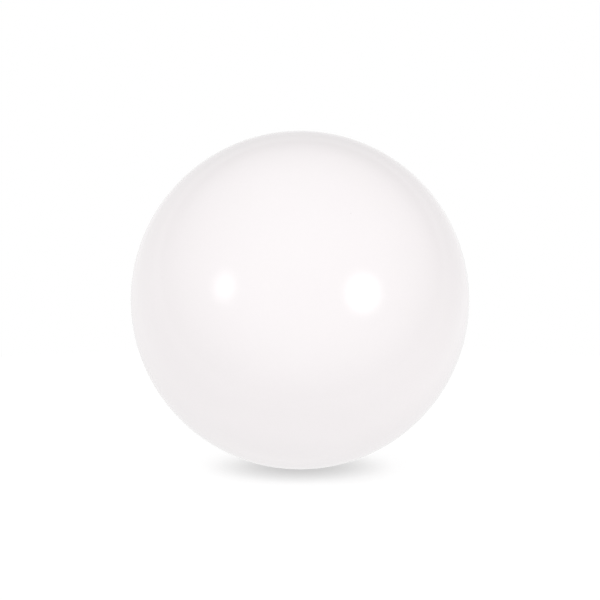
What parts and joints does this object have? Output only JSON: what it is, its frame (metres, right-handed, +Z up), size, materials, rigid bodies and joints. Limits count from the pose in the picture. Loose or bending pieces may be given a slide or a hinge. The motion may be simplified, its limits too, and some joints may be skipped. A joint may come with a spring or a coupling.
{
  "type": "contact juggling ball",
  "caption": "Solid round ball of polished opaque white acrylic, for rolling over the hands and arms in contact juggling.",
  "frame": {"origin": "the ball's centre", "axes": "+Z up; every axis through the centre is the same, and -Z runs from the centre to the lowest point"},
  "size_m": [0.076, 0.076, 0.076],
  "materials": {
    "white_acrylic": "opaque white right through, ground round and polished to a mirror gloss"
  },
  "bodies": {
    "root": {"ball": "white_acrylic"}
  },
  "joints": []
}
